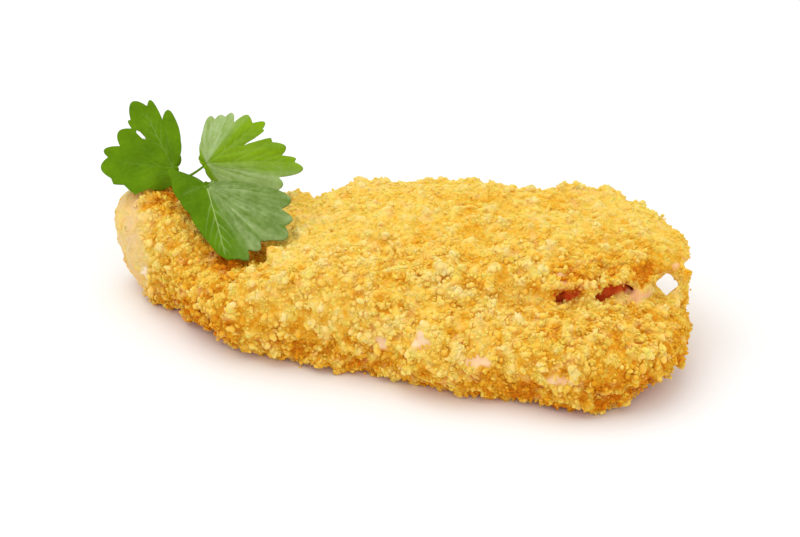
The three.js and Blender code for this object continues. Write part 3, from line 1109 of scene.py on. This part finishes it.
# Pairs are how large a pattern is and how strong. base and bedBase are where the colour of the
# crumbs and of the crust starts in crumbColours, whose deep orange low end the hollows reach as painted
# shade.
crumbFinish = {
    "base": 0.35, "bedBase": 0.34, "exposed": 0.5,
    "grain": (0.7 * mm, 0.09), "spots": (3.2 * mm, 0.75), "patches": (9 * mm, 0.3),
    "knobs": (0.8 * mm, 0.1), "bedKnobs": (1.0 * mm, 0.35), "bedGrain": (0.5 * mm, 0.2),
    "bumpSize": 0.6 * mm, "bump": 0.12 * mm, "bedBump": 0.4 * mm,
    "peach": (0.88, 0.58, 0.26), "peachSpots": (4.3 * mm, 0.3),
    "lemon": (0.86, 0.71, 0.13), "lemonSpots": (3.1 * mm, 0.4),
    "flour": (0.78, 0.54, 0.29), "flourSpots": (4 * mm, 1.6), "flourBase": 0.55,
}
# Light goes a little way into the crumbs.
lightInside = {
    "Subsurface Weight": 0.6, "Subsurface Scale": 0.8 * mm, "Subsurface Radius": (1.0, 0.6, 0.2),
}
fleshColours = [(0.3, (0.80, 0.43, 0.17)), (0.7, (0.90, 0.62, 0.32))]
fatColour = (0.92, 0.79, 0.60)
meatColours = [(0.3, (0.56, 0.058, 0.007)), (0.7, (0.69, 0.120, 0.018))]


def setShader(tree, shader, colour, relief, distance, values):
    tree.links.new(colour, shader.inputs["Base Color"])
    tree.links.new(bumpNode(tree, relief, distance), shader.inputs["Normal"])
    setInputs(shader, values)


# Spots of size where a colour shows, as a share that reaches most.
def spotShare(tree, size, most):
    share = addNode(tree, "ShaderNodeMapRange", interpolation_type="SMOOTHSTEP")
    tree.links.new(noiseNode(tree, size, 2), share.inputs["Value"])
    setInputs(share, {"From Min": 0.54, "From Max": 0.68, "To Max": most})
    return share.outputs["Result"]


# Rounded knobs of size, highest in their middles, round 0.
def knobs(tree, size, gain):
    place = addNode(tree, "ShaderNodeTexCoord")
    cells = addNode(tree, "ShaderNodeTexVoronoi", feature="SMOOTH_F1")
    setInputs(cells, {"Scale": 1 / size, "Smoothness": 0.3})
    tree.links.new(place.outputs["Object"], cells.inputs["Vector"])
    around = mathNode(tree, "SUBTRACT", 0.42, cells.outputs["Distance"])
    return mathNode(tree, "MULTIPLY", around, gain)


# The knobs darken the colour towards each knob's rim, a painted shade round the granules.
def crumbColour(tree, base, knobShade):
    spots = unevenness(tree, *crumbFinish["spots"])
    share = sumNode(tree, attributeNode(tree, "exposed", crumbFinish["exposed"]),
                    attributeNode(tree, "tone"), knobShade,
                    unevenness(tree, *crumbFinish["grain"]),
                    mathNode(tree, "MULTIPLY", spots, attributeNode(tree, "rugged")),
                    unevenness(tree, *crumbFinish["patches"]))
    colour = rampNode(tree, mathNode(tree, "ADD", share, base), crumbColours)
    colour = mixNode(tree, spotShare(tree, *crumbFinish["peachSpots"]), colour, crumbFinish["peach"])
    colour = mixNode(tree, spotShare(tree, *crumbFinish["lemonSpots"]), colour, crumbFinish["lemon"])
    flour = unevenness(tree, *crumbFinish["flourSpots"])
    floury = mathNode(tree, "ADD", flour, crumbFinish["flourBase"])
    floury = mathNode(tree, "MULTIPLY", floury, attributeNode(tree, "floury"), clamp=True)
    return mixNode(tree, floury, colour, crumbFinish["flour"])


def makeCrumbMaterial():
    material, tree, shader = newMaterial("crumb")
    colour = crumbColour(tree, crumbFinish["base"], knobs(tree, *crumbFinish["knobs"]))
    relief = noiseNode(tree, crumbFinish["bumpSize"], 5)
    setShader(tree, shader, colour, relief, crumbFinish["bump"],
              {"Roughness": 0.9, "Specular IOR Level": 0.06, **lightInside})
    return material


def makeBedMaterial():
    material, tree, shader = newMaterial("crumb_bed")
    flesh = rampNode(tree, noiseNode(tree, 3 * mm), fleshColours)
    flesh = mixNode(tree, attributeNode(tree, "white"), flesh, fatColour)
    meat = rampNode(tree, noiseNode(tree, 2 * mm), meatColours)
    # The knobs darken the crust's colour towards their rims, a painted shade round the granules.
    colour = crumbColour(tree, crumbFinish["bedBase"], knobs(tree, *crumbFinish["bedKnobs"]))
    colour = mixNode(tree, attributeNode(tree, "enclosed"), colour, meat)
    colour = mixNode(tree, attributeNode(tree, "bare"), colour, flesh)
    coated = mathNode(tree, "SUBTRACT", 1.0, attributeNode(tree, "bare"))
    relief = mathNode(tree, "MULTIPLY", knobs(tree, crumbFinish["bedKnobs"][0], 1.0), coated)
    relief = mathNode(tree, "ADD", relief, unevenness(tree, *crumbFinish["bedGrain"], 4))
    setShader(tree, shader, colour, relief, crumbFinish["bedBump"],
              {"Roughness": 0.8, "Specular IOR Level": 0.1, **lightInside})
    return material


def makeHamMaterial():
    material, tree, shader = newMaterial("ham")
    colour = rampNode(tree, noiseNode(tree, 4 * mm), meatColours)
    setShader(tree, shader, colour, noiseNode(tree, 1 * mm), 0.2 * mm, {"Roughness": 0.35})
    return material


leafColours = [(0.2, (0.060, 0.135, 0.001)), (0.5, (0.115, 0.235, 0.002)), (0.8, (0.210, 0.370, 0.006))]
paintedSheenColours = [(0.2, (0.130, 0.200, 0.045)), (0.5, (0.255, 0.345, 0.125)), (0.8, (0.430, 0.530, 0.270))]
# Pairs as in crumbFinish: of the green, of the greyish shine, a painted sheen, and of where that shows
leafFinish = {
    "bump": 0.1 * mm, "bumpSize": 0.6 * mm, "streak": 0.17,
    "green": [(5 * mm, 0.5), (0.9 * mm, 0.2)], "paintedSheen": [(1.1 * mm, 0.4), (4 * mm, 0.5)],
    "shinePattern": (2.2 * mm, 0.4), "shine": 0.95, "veinShare": 0.95, "vein": (0.48, 0.60, 0.22),
}


def makeLeafMaterial():
    material, tree, shader = newMaterial("leaf")
    tone = attributeNode(tree, "tone")
    streak = attributeNode(tree, "streak", leafFinish["streak"])
    share = sumNode(tree, *(unevenness(tree, *pair) for pair in leafFinish["green"]), tone)
    green = rampNode(tree, mathNode(tree, "ADD", share, 0.5), leafColours)
    share = sumNode(tree, *(unevenness(tree, *pair) for pair in leafFinish["paintedSheen"]), streak, tone)
    paintedSheen = rampNode(tree, mathNode(tree, "ADD", share, 0.5), paintedSheenColours)
    shine = sumNode(tree, attributeNode(tree, "shine", leafFinish["shine"]),
                    unevenness(tree, *leafFinish["shinePattern"]), streak, streak)
    shine = mathNode(tree, "MULTIPLY", shine, attributeNode(tree, "shine"), clamp=True)
    # Painted sheen: where shine is high the green turns greyish, a reflection of the light.
    colour = mixNode(tree, shine, green, paintedSheen)
    vein = attributeNode(tree, "vein", leafFinish["veinShare"])
    colour = mixNode(tree, vein, colour, leafFinish["vein"])
    relief = noiseNode(tree, leafFinish["bumpSize"], 4)
    setShader(tree, shader, colour, relief, leafFinish["bump"],
              {"Roughness": 0.6, "Specular IOR Level": 0.05})
    return material


print("painting")
crumbMaterial = makeCrumbMaterial()
for piece in looseCrumbs:
    piece.data.materials.append(crumbMaterial)
coatedMeat.data.materials.append(makeBedMaterial())
leafMaterial = makeLeafMaterial()
for piece in (*leafletPieces, stalks):
    piece.data.materials.append(leafMaterial)
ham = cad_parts["ham"]
ham.data.materials.clear()
ham.data.materials.append(makeHamMaterial())


print("setting the stage")
studio = {
    "floor": (0.9, 0.9, 0.9, 1), "floorSize": 6, "world": 0.86,
    "distance": 1.2, "elevation": 27.0, "lens": 224.0, "target": (0.0, 0.0, 20 * mm),
}
floor = addPiece(bpy.ops.mesh.primitive_plane_add, size=studio["floorSize"])
floor.name = "floor"
floorMaterial, _, floorShader = newMaterial("pale_floor")
setInputs(floorShader, {"Base Color": studio["floor"], "Roughness": 0.8})
floor.data.materials.append(floorMaterial)


def aimFrom(place, back, item):
    item.location = place
    item.rotation_euler = (-back).to_track_quat("-Z", "Y").to_euler()


def addLight(name, place, size, power):
    light = bpy.data.lights.new(name, "AREA")
    light.size = size
    light.energy = power
    aimFrom(place, Vector(place), addObject(name, light))


addLight("key", (-0.25, 0.05, 0.9), 1.1, 4.0)
addLight("fill", (0.2, -0.9, 0.6), 0.9, 2.1)
world = bpy.data.worlds.new("studio")
bpy.context.scene.world = world
world.use_nodes = True
setInputs(world.node_tree.nodes["Background"], {"Color": (1, 1, 1, 1), "Strength": studio["world"]})
bpy.context.scene.view_settings.view_transform = "Standard"
# Light reaches the hollows between the crumbs by many bounces.
bpy.context.scene.cycles.max_bounces = 16
bpy.context.scene.cycles.diffuse_bounces = 16

camera = bpy.data.cameras.new("camera")
camera.lens = studio["lens"]
cameraObject = addObject("camera", camera)
tilt = math.radians(studio["elevation"])
back = Vector((0, -math.cos(tilt), math.sin(tilt)))
aimFrom(Vector(studio["target"]) + back * studio["distance"], back, cameraObject)
bpy.context.scene.camera = cameraObject
